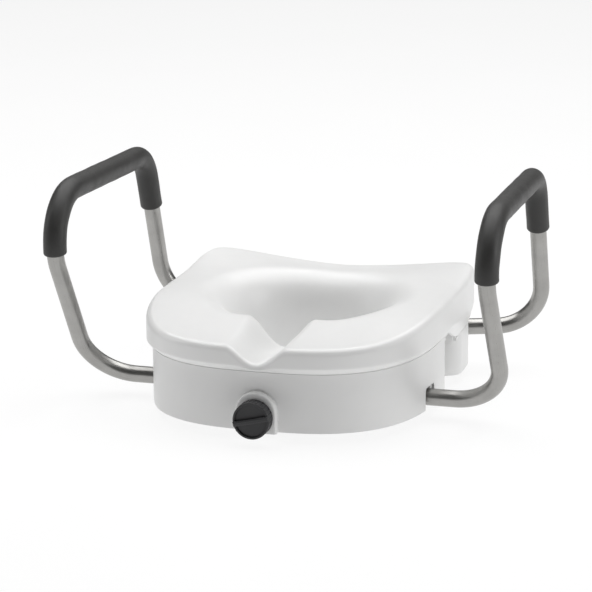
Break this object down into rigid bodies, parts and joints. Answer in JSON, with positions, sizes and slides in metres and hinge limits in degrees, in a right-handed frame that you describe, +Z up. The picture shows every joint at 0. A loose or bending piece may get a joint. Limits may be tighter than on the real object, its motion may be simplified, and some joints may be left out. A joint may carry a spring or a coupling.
{
  "type": "raised toilet seat",
  "caption": "Raised toilet seat with a moulded top and base, padded tubular arms, a front drain channel and a knob that clamps it to the bowl.",
  "frame": {"origin": "middle of the footprint on the plane of the lowest feet, the jaw and the two rear hooks; the underside that rests on the bowl is 14 mm above it", "axes": "+Z up, front of the seat with the knob towards -Y, +X to the right as seen from the front"},
  "size_m": [0.5974, 0.4625, 0.3028],
  "materials": {
    "seat_plastic": "satin moulded white, fine mould texture",
    "base_plastic": "satin moulded white",
    "tube_aluminium": "satin drawn tube",
    "grip_foam": "closed-cell foam sleeve, matt with a soft sheen",
    "knob_plastic": "fine spark-eroded matt",
    "bracket_plastic": "moulded, matt",
    "plug_plastic": "moulded, matt",
    "nylon": "natural nylon",
    "pad_rubber": "moulded grey rubber",
    "zinc_steel": "zinc plated",
    "spring_steel": "phosphated spring steel",
    "brass": "turned"
  },
  "bodies": {
    "seat": {"seat_top": "seat_plastic", "base_shell": "base_plastic", "shell_screws": "zinc_steel", "rim_pads": "pad_rubber", "screw_bush": "nylon", "jaw_guide": "bracket_plastic", "guide_screws": "zinc_steel", "hook_screws": "zinc_steel", "strap_screws": "zinc_steel", "arm_tube_left": "tube_aluminium", "grip_left": "grip_foam", "front_plug_left": "plug_plastic", "rear_plug_left": "plug_plastic", "front_strap_left": "zinc_steel", "rear_strap_left": "zinc_steel", "rear_hook_left": "bracket_plastic", "hook_pad_left": "pad_rubber", "arm_tube_right": "tube_aluminium", "grip_right": "grip_foam", "front_plug_right": "plug_plastic", "rear_plug_right": "plug_plastic", "front_strap_right": "zinc_steel", "rear_strap_right": "zinc_steel", "rear_hook_right": "bracket_plastic", "hook_pad_right": "pad_rubber"},
    "knob": {"clamp_knob": "knob_plastic", "knob_insert": "brass", "clamp_screw": "zinc_steel", "retaining_clip": "spring_steel", "thrust_washer": "nylon"},
    "jaw": {"clamp_jaw": "bracket_plastic", "jaw_nut": "zinc_steel", "jaw_pad": "pad_rubber"}
  },
  "joints": [
    {"name": "knob_turn", "type": "hinge", "parent": "seat", "child": "knob", "pos_m": [0, -0.21128, 0.035], "axis": [0, 1, 0], "range_deg": [0, 2790]},
    {"name": "jaw_slide", "type": "slide", "parent": "seat", "child": "jaw", "axis": [0, -1, 0], "range_m": [0, 0.0233]}
  ],
  "couplings": [
    {"joint": "jaw_slide", "follows": "knob_turn", "m_per_rad": 0.00047746}
  ]
}
